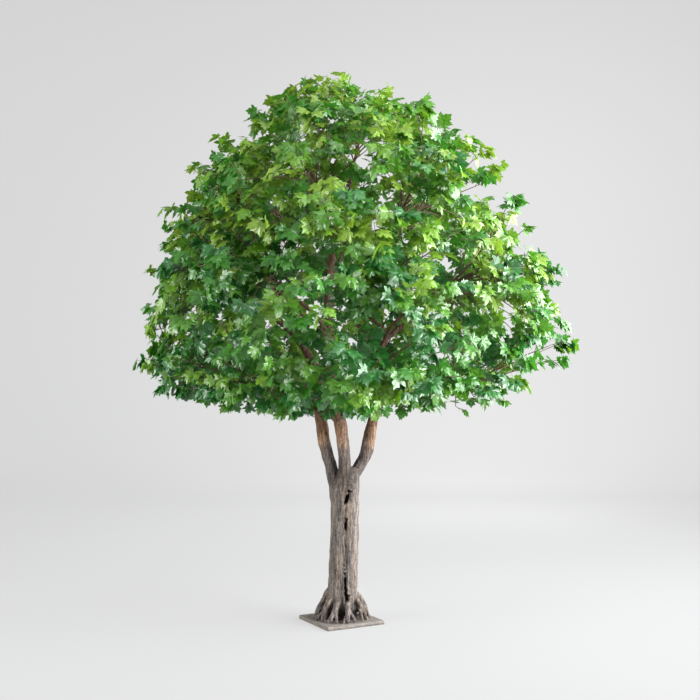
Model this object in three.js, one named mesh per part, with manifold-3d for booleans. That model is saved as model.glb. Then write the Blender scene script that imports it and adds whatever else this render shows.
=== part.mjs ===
// An artificial maple tree that stands on a square steel base plate. Millimetres, +Z up.
// The origin is the centre of the plate's flat underside, and the plate's edges run along X and Y.
// The tree stands turned on its plate, so the trunk, boughs and foliage are built in a group of their
// own. There X runs across the front of the tree, Y from front to back, and Z is up.
import * as THREE from "three";
import { mergeVertices } from "three/addons/utils/BufferGeometryUtils.js";
import Module from "manifold-3d";

const wasm = await Module();
wasm.setup();

// ---------- driving dimensions ----------

const GAP = 0.3; // clearance between two nodes that meet
const TREE_TURN = THREE.MathUtils.degToRad(-28.7); // from the plate's edges to the tree's front

const PLATE = { side: 350, thick: 20, bevel: 2 };
const GROUND = PLATE.thick + GAP; // level at which the trunk stands

// The trunk: points on its axis from foot to fork, and its radii at equal steps along it.
const TRUNK = {
  axis: [[0, 0, GROUND], [6, 0, 236], [17, 0, 480], [22, 2, 690], [38, 5, 800], [50, 6, 858]],
  radius: [82, 81, 81, 80, 79, 77, 79, 74, 52],
  sides: 15,
  steps: 11,
  grooves: 0.07, // depth of the furrows between its strands, as a share of the radius
  // The waves round the trunk that make the furrows, and how far each turns on the way up.
  waves: [
    { count: 3, share: 0.6, phase: 1.2, twist: 1 },
    { count: 5, share: 0.4, phase: 0, twist: -2 },
  ],
};
// The roots arch out from the trunk and down to the plate by way of two bends.
const ROOTS = {
  count: 10,
  spread: 151, // reach of the toes from the trunk's axis
  rise: 145, // level above the ground at which the roots start, inside the trunk
  start: 56, // and their distance from its axis there
  knee: { out: 98, height: 0.68 }, // the first bend, its height a share of the rise
  shin: { out: 0.87, height: 0.38 }, // the second, its distance a share of the spread
  sink: 2, // depth of the toes' centres below the ground
  stray: 14, // furthest that a root bends aside at its shin
  toeStray: 1.6, // and at its toe, as a multiple of that
  radius: [21, 12],
  sides: 5,
  steps: 3,
};

// Dark hollows in the bark of the trunk's front: centre, half sizes and slant from upright.
const HOLLOWS = [
  { at: [32, -80, 690], half: [12, 26, 46], slant: 0.24 },
  { at: [24, -78, 545], half: [8, 22, 34], slant: 0.05 },
  { at: [22, -80, 195], half: [9, 26, 98], slant: -0.05 },
];

// The three boughs that the trunk forks into: points on the line of each, and its radii at equal
// steps along it.
const MAIN_BOUGHS = {
  left: {
    line: [[-18, 16, 630], [-42, 20, 787], [-91, 35, 971], [-121, 55, 1154], [-140, 85, 1340],
      [-225, 105, 1540], [-385, 70, 1730]],
    radius: [38, 31, 15],
  },
  middle: {
    line: [[12, -14, 770], [16, -22, 925], [-8, -42, 1108], [-62, -72, 1340], [-74, -84, 1600],
      [-58, -62, 1980], [-22, -20, 2440]],
    radius: [34, 35, 26, 19, 12],
  },
  right: {
    line: [[58, 8, 790], [134, 20, 925], [162, 34, 1062], [190, 52, 1190], [186, 84, 1400],
      [250, 130, 1560], [420, 190, 1700]],
    radius: [32, 34, 18, 16, 14],
  },
};
const MAIN_BOUGH = { sides: 7, steps: 13, firstFork: 4, lastFork: 12 };
const SIDE_BOUGH = {
  share: 0.62, // of the main bough's radius at the fork
  most: 19, // largest radius
  tip: 9, // radius at the tip
  leaving: 0.25, // share of its length that its start is drawn along the main bough
  arriving: 0.45, // and its end along the lean of its mass
  climbWeight: 1.5, // cost of a fork off the right level, against that of length
  sides: 5,
  steps: 5,
};

// The crown: a dome on a flatter underside, round in plan, with shallow lumps.
const CROWN = { x: 46, y: 0, bottom: 1128, heart: 1410, widest: 1610, top: 3120, radius: 1265 };
const DOME_POWER = 1.8; // roundness above the widest level
const UNDER_POWER = 3.2; // and below it
const LUMP = 0.03; // depth of the lumps, as a share of the radius
// The waves round the crown that make the lumps, and the height in which each turns by a radian.
const LUMP_WAVES = [
  { count: 3, turnIn: 210, phase: 0 },
  { count: 5, turnIn: -130, phase: 1 },
];

// The tiers of foliage. Each mass has its own space round a centre, at a level and a distance from
// the crown's axis, and its stem starts nearer the axis and lower, leaning up by rise. Every other
// mass of a tier sits higher by the stagger, so that the tiers interlock.
const TIERS = [
  { name: "low", count: 7, phase: 22.5, z: 1400, out: 770, stemZ: 1300, stemOut: 400, rise: 0.2,
    fork: 0.35 },
  { name: "mid", count: 7, phase: 180, z: 1880, out: 760, stemZ: 1730, stemOut: 430, rise: 0.5,
    fork: 0.7 },
  { name: "high", count: 5, phase: 30, z: 2370, out: 500, stemZ: 2120, stemOut: 250, rise: 1.1,
    fork: 1.2 },
  { name: "top", count: 1, phase: 0, z: 2830, out: 0, stemZ: 2440, stemOut: 0, rise: 1, fork: 2 },
];
const STAGGER = 130;
// The mass that each main bough runs into.
const CARRIED = { left: "mid_1", middle: "top_1", right: "mid_5" };

const SPACE_GAP = 2; // clearance from a mass's leaves to the edge of its space
const LIMB_GAP = 3; // and to any limb
// The stem of a mass runs past the middle of its space, and carries the twigs between two shares
// of its length.
const STEM = { radius: [10, 7], sides: 3, reach: 0.72, past: 60, firstTwig: 0.3, lastTwig: 0.97 };
const TWIG = {
  count: 5,
  radius: [5.5, 4.5],
  sides: 3,
  steps: 2,
  rising: 0.35, // share of its length that its start is drawn along the stem
  leafPlaces: [0.5, 0.7, 0.88], // of the pairs of side leaves
  endPlace: 0.96, // and of the leaf at its end
  draws: 3, // tries at each side leaf
  tries: 160, // and at the mass's twigs
  mostLeaves: 20, // on a mass
  choices: 60, // places weighed for each twig
  range: 620, // how far they lie from the middle of the mass
  spread: 0.9, // weight of their distance from other twigs against their reach
  chance: 0.2, // and weight of chance
};
// A leaf has three lobes. Its outline is in shares of its length.
const LEAF = {
  length: 290,
  smallest: 0.78,
  thick: 6,
  heart: 0.4, // where it is thickest
  outline: [[0, 0], [0.32, 0.57], [0.54, 0.28], [1, 0], [0.54, -0.28], [0.32, -0.57]],
  outward: [0.25, 0.7], // how far it points out from the crown
  droop: [0.3, 0.9], // and down
  endSwing: 0.4, // how far an end leaf points aside
  sideSwing: [0.4, 1.2], // and a side leaf
  skyward: 0.4, // how far its face looks up
  scatter: 0.5, // and anywhere
};
const SEED = 10;

// ---------- small tools ----------

const UP = new THREE.Vector3(0, 0, 1);
const vector = (a) => new THREE.Vector3(...a);
const mix = (a, b, share) => a + (b - a) * share;

// Seeded random numbers from 0 to 1.
function seeded(seed) {
  let state = seed >>> 0;
  return () => {
    state = (state + 0x6d2b79f5) >>> 0;
    let t = state;
    t = Math.imul(t ^ (t >>> 15), t | 1);
    t ^= t + Math.imul(t ^ (t >>> 7), t | 61);
    return ((t ^ (t >>> 14)) >>> 0) / 4294967296;
  };
}

// A closed three.js geometry as a manifold-3d solid, and back.
function solid(geometry) {
  const bare = geometry.clone();
  bare.deleteAttribute("normal");
  bare.deleteAttribute("uv");
  const merged = mergeVertices(bare, 1e-4);
  return new wasm.Manifold(
    new wasm.Mesh({
      numProp: 3,
      vertProperties: new Float32Array(merged.attributes.position.array),
      triVerts: new Uint32Array(merged.index.array),
    }),
  );
}

function geometryOf(manifold) {
  const mesh = manifold.getMesh();
  const geometry = new THREE.BufferGeometry();
  geometry.setAttribute("position", new THREE.BufferAttribute(mesh.vertProperties, mesh.numProp));
  geometry.setIndex(new THREE.BufferAttribute(mesh.triVerts, 1));
  return geometry.toNonIndexed();
}

// The largest body of a solid, with any hollow that was sealed in it filled.
function largestBody(manifold) {
  const bodies = manifold.decompose();
  return bodies.reduce((best, body) => (body.volume() > best.volume() ? body : best));
}

// The direction in which a path ends.
const endDirection = (path) => path.at(-1).clone().sub(path.at(-2)).normalize();

// The point at a share of the way along a path of equal steps.
function pointAlong(path, share) {
  const place = share * (path.length - 1);
  const from = Math.min(Math.floor(place), path.length - 2);
  return path[from].clone().lerp(path[from + 1], place - from);
}

// A smooth line through points, as points at equal steps along it.
function line(points, steps) {
  return new THREE.CatmullRomCurve3(points, false, "centripetal").getSpacedPoints(steps);
}

// A limb round a line of points: closed, with a ring of corners at each point.
// radiusAt takes the share of the way along and the turn round the limb.
function limbGeometry(points, radiusAt, sides) {
  const last = points.length - 1;
  const corners = [];
  const across = new THREE.Vector3(1, 0, 0);
  points.forEach((point, i) => {
    const along = points[Math.min(i + 1, last)].clone().sub(points[Math.max(i - 1, 0)]).normalize();
    across.addScaledVector(along, -across.dot(along)).normalize();
    const third = along.clone().cross(across);
    for (let k = 0; k < sides; k++) {
      const turn = (2 * Math.PI * k) / sides;
      const radius = radiusAt(i / last, turn);
      corners.push(
        point
          .clone()
          .addScaledVector(across, radius * Math.cos(turn))
          .addScaledVector(third, radius * Math.sin(turn)),
      );
    }
  });
  const faces = [];
  for (let i = 0; i < last; i++)
    for (let k = 0; k < sides; k++) {
      const a = i * sides + k;
      const b = i * sides + ((k + 1) % sides);
      faces.push(a, b, b + sides, a, b + sides, a + sides);
    }
  for (let k = 1; k < sides - 1; k++) {
    faces.push(0, k + 1, k);
    faces.push(last * sides, last * sides + k, last * sides + k + 1);
  }
  const geometry = new THREE.BufferGeometry().setFromPoints(corners);
  geometry.setIndex(faces);
  return geometry;
}

// A path with its two ends drawn out by a length.
function drawnOut(path, length) {
  const [first, second] = path;
  return [
    first.clone().addScaledVector(second.clone().sub(first).normalize(), -length),
    ...path.slice(1, -1),
    path.at(-1).clone().addScaledVector(endDirection(path), length),
  ];
}

// A value given at a few equal steps, at a share of the way along them.
function stepped(values, share) {
  const place = share * (values.length - 1);
  const from = Math.min(Math.floor(place), values.length - 2);
  return mix(values[from], values[from + 1], place - from);
}

// A round limb with its radii at equal steps along it, grown all over by a clearance.
function roundLimb(path, radii, sides, grow = 0) {
  const radiusAt = (share) => stepped(radii, share) + grow;
  return solid(limbGeometry(drawnOut(path, grow), radiusAt, sides));
}

// ---------- base plate ----------

function plateGeometry() {
  const half = PLATE.side / 2 - PLATE.bevel;
  const outline = new THREE.Shape();
  outline.moveTo(-half, -half).lineTo(half, -half).lineTo(half, half).lineTo(-half, half);
  const geometry = new THREE.ExtrudeGeometry(outline, {
    depth: PLATE.thick - 2 * PLATE.bevel,
    bevelSize: PLATE.bevel,
    bevelThickness: PLATE.bevel,
    bevelSegments: 1,
  });
  return geometry.translate(0, 0, PLATE.bevel);
}

// ---------- trunk ----------

// The trunk's strands: a furrowed section that twists slowly as it rises.
function trunkRadius(share, turn) {
  let furrow = 0;
  for (const wave of TRUNK.waves)
    furrow += wave.share * Math.cos(wave.count * turn + wave.phase + wave.twist * share);
  return stepped(TRUNK.radius, share) * (1 + TRUNK.grooves * furrow);
}

// One root: a strand that leaves the trunk above the ground and runs out and down on to the plate.
function root(index, random, grow) {
  const heading = (2 * Math.PI * (index + 0.5 * random())) / ROOTS.count;
  const out = new THREE.Vector3(Math.cos(heading), Math.sin(heading), 0);
  const spread = ROOTS.spread * mix(0.9, 1.03, random());
  const rise = ROOTS.rise * mix(0.75, 1.25, random());
  const stray = mix(-ROOTS.stray, ROOTS.stray, random());
  const aside = new THREE.Vector3(-out.y, out.x, 0).multiplyScalar(stray);
  const at = (reach, height) => out.clone().multiplyScalar(reach).setZ(GROUND + height);
  const points = [
    at(ROOTS.start, rise),
    at(ROOTS.knee.out, rise * ROOTS.knee.height),
    at(spread * ROOTS.shin.out, rise * ROOTS.shin.height).add(aside),
    at(spread, -ROOTS.sink).addScaledVector(aside, ROOTS.toeStray),
  ];
  return roundLimb(line(points, ROOTS.steps), ROOTS.radius, ROOTS.sides, grow);
}

function hollow({ at, half, slant }) {
  const geometry = new THREE.SphereGeometry(1, 8, 6);
  geometry.scale(half[0], half[1], half[2]).rotateY(slant).translate(...at);
  return solid(geometry);
}

function trunkSolid(grow = 0) {
  const axis = line(TRUNK.axis.map(vector), TRUNK.steps);
  const section = (share, turn) => trunkRadius(share, turn) + grow;
  let trunk = solid(limbGeometry(drawnOut(axis, grow), section, TRUNK.sides));
  const random = seeded(SEED);
  for (let i = 0; i < ROOTS.count; i++) trunk = trunk.add(root(i, random, grow));
  if (!grow) for (const shape of HOLLOWS) trunk = trunk.subtract(hollow(shape));
  const below = new THREE.BoxGeometry(2 * PLATE.side, 2 * PLATE.side, PLATE.side);
  below.translate(0, 0, GROUND - PLATE.side / 2);
  return largestBody(trunk.subtract(solid(below)));
}

// ---------- the crown's spaces ----------

// How far out a point lies in the crown: 0 at its heart and 1 on its surface.
function crownShare({ x, y, z }) {
  const above = z > CROWN.widest;
  const power = above ? DOME_POWER : UNDER_POWER;
  const height = above ? CROWN.top - CROWN.widest : CROWN.widest - CROWN.bottom;
  const level = Math.abs(z - CROWN.widest) / height;
  const heading = Math.atan2(y - CROWN.y, x - CROWN.x);
  let lumps = 0;
  for (const wave of LUMP_WAVES)
    lumps += Math.sin(wave.count * heading + z / wave.turnIn + wave.phase);
  const radius = CROWN.radius * (1 - LUMP * (1 - lumps / LUMP_WAVES.length));
  const out = Math.hypot(x - CROWN.x, y - CROWN.y) / radius;
  return (level ** power + out ** power) ** (1 / power);
}

// A point at a heading and distance from the crown's axis.
function crownPoint(heading, out, z) {
  return new THREE.Vector3(CROWN.x + out * Math.cos(heading), CROWN.y + out * Math.sin(heading), z);
}

// The masses of foliage, each with its space's centre and its stem's start and direction.
const masses = TIERS.flatMap((tier) =>
  Array.from({ length: tier.count }, (_, i) => {
    const heading = THREE.MathUtils.degToRad(tier.phase) + (2 * Math.PI * i) / tier.count;
    const outward = new THREE.Vector3(Math.cos(heading), Math.sin(heading), 0);
    const lift = tier.count > 1 ? STAGGER * ((i % 2) - 0.5) : 0;
    return {
      name: `${tier.name}_${i + 1}`,
      tier,
      centre: crownPoint(heading, tier.out, tier.z + lift),
      foot: crownPoint(heading, tier.stemOut, tier.stemZ + lift / 2),
      lean: tier.out ? outward.setZ(tier.rise).normalize() : UP.clone(),
    };
  }),
);

// True where a point lies in the crown and in a mass's own space, which reaches half-way to the
// centre of every other mass.
function inSpace(point, mass) {
  if (crownShare(point) > 1) return false;
  const own = point.distanceToSquared(mass.centre);
  return masses.every((other) => {
    if (other === mass) return true;
    const between = mass.centre.distanceTo(other.centre);
    return (point.distanceToSquared(other.centre) - own) / (2 * between) > SPACE_GAP;
  });
}

// ---------- boughs ----------

const mainBoughs = Object.entries(MAIN_BOUGHS).map(([name, { line: points, radius }]) => {
  const mass = masses.find((m) => m.name === CARRIED[name]);
  const through = [...points.map(vector).slice(0, -1), mass.foot];
  const path = line(through, MAIN_BOUGH.steps);
  mass.lean = endDirection(path);
  return { name: `main_bough_${name}`, path, radius, sides: MAIN_BOUGH.sides };
});

// The main bough that can carry a mass with the shortest side bough: one that leaves it low enough
// to climb to the mass by the tier's fork slope.
function carrierOf(mass) {
  let best = null;
  for (const bough of mainBoughs)
    bough.path.forEach((from, i) => {
      if (i < MAIN_BOUGH.firstFork || i > MAIN_BOUGH.lastFork) return;
      const run = Math.hypot(mass.foot.x - from.x, mass.foot.y - from.y);
      const miss = Math.abs(mass.foot.z - mass.tier.fork * run - from.z);
      const cost = from.distanceTo(mass.foot) + SIDE_BOUGH.climbWeight * miss;
      if (!best || cost < best.cost) best = { bough, i, cost };
    });
  return best;
}

// A side bough: it leaves its main bough along it, and turns out and up to the foot of its mass.
function sideBough(mass) {
  const { bough, i } = carrierOf(mass);
  const from = bough.path[i];
  const along = bough.path[i + 1].clone().sub(bough.path[i - 1]).normalize();
  const length = from.distanceTo(mass.foot);
  const curve = new THREE.CubicBezierCurve3(
    from,
    from.clone().addScaledVector(along, SIDE_BOUGH.leaving * length),
    mass.foot.clone().addScaledVector(mass.lean, -SIDE_BOUGH.arriving * length),
    mass.foot,
  );
  const thick = SIDE_BOUGH.share * stepped(bough.radius, i / (bough.path.length - 1));
  const path = curve.getSpacedPoints(SIDE_BOUGH.steps);
  mass.lean = endDirection(path);
  return {
    name: `bough_${mass.name}`,
    path,
    radius: [Math.min(thick, SIDE_BOUGH.most), SIDE_BOUGH.tip],
    sides: SIDE_BOUGH.sides,
  };
}

const carriedByMain = new Set(Object.values(CARRIED));
const limbs = [
  ...mainBoughs,
  ...masses.filter((mass) => !carriedByMain.has(mass.name)).map(sideBough),
];

// Each bough is cut clear of the trunk and of the boughs before it.
const cutters = [trunkSolid(GAP)];
for (const limb of limbs) {
  let shape = roundLimb(limb.path, limb.radius, limb.sides);
  for (const cutter of cutters) shape = shape.subtract(cutter);
  limb.solid = largestBody(shape);
  cutters.push(roundLimb(limb.path, limb.radius, limb.sides, GAP));
}

// A solid with the box round it, and whether one shape touches any of a list of them.
const boxed = (shape) => ({ shape, ...shape.boundingBox() });

function touches(one, others) {
  return others.some((other) => {
    const near = [0, 1, 2].every((k) => one.min[k] < other.max[k] && one.max[k] > other.min[k]);
    return near && !other.shape.intersect(one.shape).isEmpty();
  });
}

// Limbs grown by the clearance that leaves and twigs keep from them.
const keepOff = limbs.map((limb) =>
  boxed(roundLimb(limb.path, limb.radius, limb.sides, LIMB_GAP)),
);

// ---------- foliage ----------

// A leaf from its root: along its length, with its upper face towards facing. It is sharp at its rim
// and thickest at its heart.
function leaf(base, along, facing, length) {
  const side = facing.clone().cross(along).normalize();
  const normal = along.clone().cross(side);
  const at = (x, y, z) =>
    base
      .clone()
      .addScaledVector(along, x)
      .addScaledVector(side, y)
      .addScaledVector(normal, z);
  const corners = LEAF.outline.map(([x, y]) => at(x * length, y * length, 0));
  const rim = corners.length;
  corners.push(at(LEAF.heart * length, 0, LEAF.thick / 2));
  corners.push(at(LEAF.heart * length, 0, -LEAF.thick / 2));
  const faces = [];
  for (let k = 0; k < rim; k++) {
    const next = (k + 1) % rim;
    faces.push(k, rim, next, next, rim + 1, k);
  }
  const geometry = new THREE.BufferGeometry().setFromPoints(corners);
  geometry.setIndex(faces);
  return { corners, geometry };
}

// The way a leaf points: outwards and aside, and drooping but where the crown faces up.
function leafAim(outward, swing, random) {
  const across = outward.clone().cross(UP).normalize();
  const droop = mix(...LEAF.droop, random()) * (1 - Math.max(0, outward.z));
  return outward
    .clone()
    .multiplyScalar(mix(...LEAF.outward, random()))
    .addScaledVector(across, swing)
    .addScaledVector(UP, -droop)
    .normalize();
}

// The way its upper face looks: outwards and up, with some scatter.
function leafFacing(outward, random) {
  const scatter = new THREE.Vector3(random() - 0.5, random() - 0.5, random() - 0.5);
  return outward
    .clone()
    .addScaledVector(UP, LEAF.skyward)
    .addScaledVector(scatter, LEAF.scatter);
}

// The place for the next twig to reach: the one of many places in the mass's space that is nearest
// the crown's surface and furthest from the places that other twigs reach.
function nextGoal(mass, taken, random) {
  let best = null;
  for (let i = 0; i < TWIG.choices; i++) {
    const place = mass.centre.clone();
    place.x += mix(-1, 1, random()) * TWIG.range;
    place.y += mix(-1, 1, random()) * TWIG.range;
    place.z += mix(-1, 1, random()) * TWIG.range;
    if (!inSpace(place, mass)) continue;
    const room = Math.min(TWIG.range, ...taken.map((other) => other.distanceTo(place)));
    const score =
      crownShare(place) + TWIG.spread * (room / TWIG.range) + TWIG.chance * random();
    if (!best || score > best.score) best = { place, score };
  }
  return best?.place;
}

// A mass: a stem from the bough's tip, twigs to places spread through its space, and on each twig
// an end leaf and pairs of side leaves. What would leave the space, or touch a limb or anything
// but the wood it grows from, is skipped.
function foliage(mass, index) {
  const random = seeded(SEED + 97 * (index + 1));
  const heart = new THREE.Vector3(CROWN.x, CROWN.y, CROWN.heart);

  // The stem runs towards the crown's rim.
  const reach = mass.centre.distanceTo(mass.foot) * STEM.reach + STEM.past;
  const start = mass.foot.clone().addScaledVector(mass.lean, GAP);
  const stem = new THREE.LineCurve3(start, start.clone().addScaledVector(mass.lean, reach));
  const wood = [boxed(roundLimb([stem.v1, stem.v2], STEM.radius, STEM.sides))];
  const leaves = [];

  // The leaf of one place, or null where it can't grow.
  const leafAt = (base, aim, facing, size) => {
    const { corners, geometry } = leaf(base, aim, facing, size);
    if (!corners.slice(1).every((corner) => inSpace(corner, mass))) return null;
    const grown = boxed(solid(geometry));
    return touches(grown, keepOff) || touches(grown, leaves) || touches(grown, wood)
      ? null
      : grown;
  };

  let reached = 0;
  const taken = [];
  while (reached < TWIG.count && taken.length < TWIG.tries) {
    const goal = nextGoal(mass, taken, random);
    if (!goal) break;
    taken.push(goal);
    const outward = goal.clone().sub(heart).normalize();
    const size = LEAF.length * mix(LEAF.smallest, 1, random());
    const aim = leafAim(outward, mix(-LEAF.endSwing, LEAF.endSwing, random()), random);
    const end = goal.clone().addScaledVector(aim, -size);
    const from = stem.getPoint(mix(STEM.firstTwig, STEM.lastTwig, reached / (TWIG.count - 1)));
    const rising = from.clone().addScaledVector(mass.lean, TWIG.rising * from.distanceTo(end));
    const curve = new THREE.QuadraticBezierCurve3(from, rising, end);
    const path = curve.getSpacedPoints(TWIG.steps);
    const twig = boxed(roundLimb(path, TWIG.radius, TWIG.sides));
    if (!path.every((point) => inSpace(point, mass))) continue;
    if (touches(twig, keepOff) || touches(twig, leaves)) continue;
    const base = pointAlong(path, TWIG.endPlace);
    const endLeaf = leafAt(base, aim, leafFacing(outward, random), size);
    if (!endLeaf) continue;
    const grown = [endLeaf];
    for (const place of TWIG.leafPlaces)
      for (const turn of [-1, 1])
        for (let draw = 0, side = null; draw < TWIG.draws && !side; draw++) {
          const length = LEAF.length * mix(LEAF.smallest, 1, random());
          const hang = leafAim(outward, turn * mix(...LEAF.sideSwing, random()), random);
          side = leafAt(pointAlong(path, place), hang, leafFacing(outward, random), length);
          if (side && touches(side, grown)) side = null;
          if (leaves.length + grown.length >= TWIG.mostLeaves) side = null;
          if (side) grown.push(side);
        }
    wood.push(twig);
    leaves.push(...grown);
    reached += 1;
  }
  return largestBody(wasm.Manifold.union([...wood, ...leaves].map(({ shape }) => shape)));
}

// ---------- the assembly ----------

const paint = (color, roughness, metalness = 0) =>
  new THREE.MeshStandardMaterial({ color, roughness, metalness, flatShading: true });
const materials = {
  plate: paint("#8a807a", 0.8, 0.2),
  trunk: paint("#80756c", 0.85),
  bough: paint("#7a5845", 0.85),
  foliage: paint("#5b8f3c", 0.45),
};

function part(name, geometry, material) {
  const mesh = new THREE.Mesh(geometry, material);
  mesh.name = name;
  geometry.computeVertexNormals();
  return mesh;
}

const tree = new THREE.Group();
tree.rotation.z = TREE_TURN;
tree.add(part("trunk", geometryOf(trunkSolid()), materials.trunk));
for (const limb of limbs) tree.add(part(limb.name, geometryOf(limb.solid), materials.bough));
masses.forEach((mass, i) => {
  const shape = foliage(mass, i);
  tree.add(part(`foliage_${mass.name}`, geometryOf(shape), materials.foliage));
});

const artificialTree = new THREE.Group();
artificialTree.add(part("base_plate", plateGeometry(), materials.plate));
artificialTree.add(tree);
export default artificialTree;
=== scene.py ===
"""The looks of an artificial maple tree on a square base plate: bark, twigs, leaves and a studio.

The tree grows here by the rules and from the named sizes of the part's source, in millimetres and
in a frame of its own, turned on the plate. It is carried further: to bark with relief, to finer
twigs, and to leaves of their real size. place() brings its points to metres in the row's frame.
"""
import math

import bpy
import numpy as np
from mathutils import Matrix, Vector, noise


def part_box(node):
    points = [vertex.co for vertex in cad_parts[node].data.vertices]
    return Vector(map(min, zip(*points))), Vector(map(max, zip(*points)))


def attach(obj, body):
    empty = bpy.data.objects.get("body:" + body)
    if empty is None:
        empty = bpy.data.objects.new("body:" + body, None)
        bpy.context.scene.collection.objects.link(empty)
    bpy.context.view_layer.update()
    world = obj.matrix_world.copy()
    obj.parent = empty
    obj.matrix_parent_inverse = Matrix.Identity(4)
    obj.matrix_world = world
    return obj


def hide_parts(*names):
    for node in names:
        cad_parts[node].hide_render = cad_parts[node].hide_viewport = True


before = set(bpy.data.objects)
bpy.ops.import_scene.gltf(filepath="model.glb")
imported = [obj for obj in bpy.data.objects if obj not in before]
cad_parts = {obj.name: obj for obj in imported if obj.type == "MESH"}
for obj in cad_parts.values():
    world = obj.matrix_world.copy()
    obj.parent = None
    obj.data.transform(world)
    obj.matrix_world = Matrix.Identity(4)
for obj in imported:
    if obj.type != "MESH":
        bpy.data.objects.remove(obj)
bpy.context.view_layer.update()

MM = 0.001  # in metres

# ---------- sizes from the part's source, in millimetres ----------

GAP = 0.3
TREE_TURN = math.radians(-28.7)
PLATE_THICK, PLATE_BEVEL = 20, 2
GROUND = PLATE_THICK + GAP

TRUNK_AXIS = [(0, 0, GROUND), (6, 0, 236), (17, 0, 480), (22, 2, 690), (38, 5, 800), (50, 6, 858)]
TRUNK_RADIUS = [82, 81, 81, 80, 79, 77, 79, 74, 52]
TRUNK_GROOVES = 0.07
ROOTS = dict(
    count=10, wander=0.5, spread=151, spread_share=(0.9, 1.03), rise=145, rise_share=(0.75, 1.25),
    start=56, knee=(98, 0.68), shin=(0.87, 0.38), sink=2, stray=14, toe_stray=1.6, radius=(19, 9),
)

MAIN_BOUGHS = dict(
    left=dict(
        line=[(-18, 16, 630), (-42, 20, 787), (-91, 35, 971), (-121, 55, 1154), (-140, 85, 1340),
              (-225, 105, 1540), (-385, 70, 1730)],
        radius=(38, 31, 15)),
    middle=dict(
        line=[(12, -14, 770), (16, -22, 925), (-8, -42, 1108), (-62, -72, 1340), (-74, -84, 1600),
              (-58, -62, 1980), (-22, -20, 2440)],
        radius=(34, 35, 26, 19, 12)),
    right=dict(
        line=[(58, 8, 790), (134, 20, 925), (162, 34, 1062), (190, 52, 1190), (186, 84, 1400),
              (250, 130, 1560), (420, 190, 1700)],
        radius=(32, 34, 18, 16, 14)),
)
CARRIED = dict(left="mid_1", middle="top_1", right="mid_5")
MAIN_STEPS, FIRST_FORK, LAST_FORK = 13, 4, 12
SIDE_SHARE, SIDE_MOST, SIDE_TIP = 0.62, 19, 9
SIDE_LEAVE, SIDE_ARRIVE = 0.25, 0.45  # how far a side bough keeps to its start and end directions
FORK_MISS = 1.5  # the cost of a fork at the wrong height, against that of length

CROWN = dict(x=46, y=0, bottom=1128, widest=1610, top=3120, radius=1265, lump=0.03)
DOME_POWER, UNDER_POWER = 1.8, 3.2
TIERS = [
    dict(name="low", count=7, phase=22.5, z=1400, out=770, stem_z=1300, stem_out=400, rise=0.2, fork=0.35),
    dict(name="mid", count=7, phase=180, z=1880, out=760, stem_z=1730, stem_out=430, rise=0.5, fork=0.7),
    dict(name="high", count=5, phase=30, z=2370, out=500, stem_z=2120, stem_out=250, rise=1.1, fork=1.2),
    dict(name="top", count=1, phase=0, z=2830, out=0, stem_z=2440, stem_out=0, rise=1, fork=2),
]
STAGGER = 130
STEM = dict(reach=0.72, extra=60, back=4, lift=8)
HEART_DROP = 200  # how far the crown's heart lies below its widest level
SEED, SEED_STEP = 10, 97

# ---------- sizes of what is only made here, in millimetres unless noted ----------

CRUMBS = dict(scale=90, depth=1.2 * MM)  # the plate's relief, in metres

# The steps along and the sides round of each kind of limb.
FINE = dict(
    trunk=(60, 72), root=(16, 12), main=(90, 28), side=(24, 14), stem=(10, 8), twig=(12, 5), shoot=(3, 4),
)
KNOBS = dict(share=0.05, waves=(28, 23), twist=7)  # the swellings of a bough, shares of its radius

# A root's two thinner strands: their turn aside, and each one's share of it, of the rise, and radii.
ROOT_TURN = (22, 34)
ROOT_STRANDS = [
    dict(turn=1, fall=(0.62, 0.84), radius=(13, 7)),
    dict(turn=-0.6, fall=(0.35, 0.6), radius=(11, 6)),
]
# The roots' crests, by height and how far out; painted shade darkens the bark some way inside them, in the
# gaps between the roots, over a depth.
ROOT_CREST = ((20, 168), (56, 143), (106, 115), (156, 92), (181, 60))
ROOT_GAP_SHADE = (10, 54)

# The hollows of the trunk's front, and the long groove between its strands that they lie in.
HOLLOWS = [
    dict(at=(32, 690), half=(9, 30), slant=0.3, depth=40),
    dict(at=(24, 545), half=(5, 27), slant=0.05, depth=30),
    dict(at=(21, 205), half=(6, 66), slant=-0.05, depth=34),
    dict(at=(27, 150), half=(11, 24), slant=-0.2, depth=30),
    dict(at=(25, 450), half=(8, 400), slant=0.0, depth=6),
]
HOLLOW_RAG = dict(size=16, share=0.7, within=3)  # the raggedness of their outlines
HOLLOW_EDGE = dict(reach=1.3, power=0.6)  # where a hollow ends, in half sizes, and how steep it is
HOLLOW_LIP = dict(reach=1.6, width=0.35, height=0.12)  # the raised lip round it
HOLLOW_FRONT = -20  # only bark in front of this is sunk
HOLLOW_SHADE_FROM, HOLLOW_SHADE_TO = 6, 34  # the depths at which painted shade starts to darken a hollow, and darkens it fully

BARK_VOXEL = 4.6  # of the mesh that joins trunk and main boughs
BARK_SOFTENING = dict(factor=0.5, iterations=3)
BARK_FOOT = 1.5  # the height above the plate over which the bark stays flat
# The long furrows of the bark: their size, their share of it, the level they sink from, and the painted
# shade in them.
FURROW = dict(width=11, length=190, depth=2.6, share=0.16, level=0.3, dark=0.5)
FURROW_BEND = dict(width=70, length=90, by=14)  # how the furrows wander
FIBRE = dict(width=7, length=45, depth=1.5)  # the fibres between them
LUMPS = dict(size=55, depth=4.0)  # the unevenness of the limbs

# Twigs start past a share of the stem, rise with it, and end at a share of the way to their goals.
TWIG = dict(
    count=14, radius=(5.0, 2.0), choices=50, range=620, spread=1.15, chance=0.2,
    start=0.25, rise=0.35, end=0.86,
)
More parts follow.
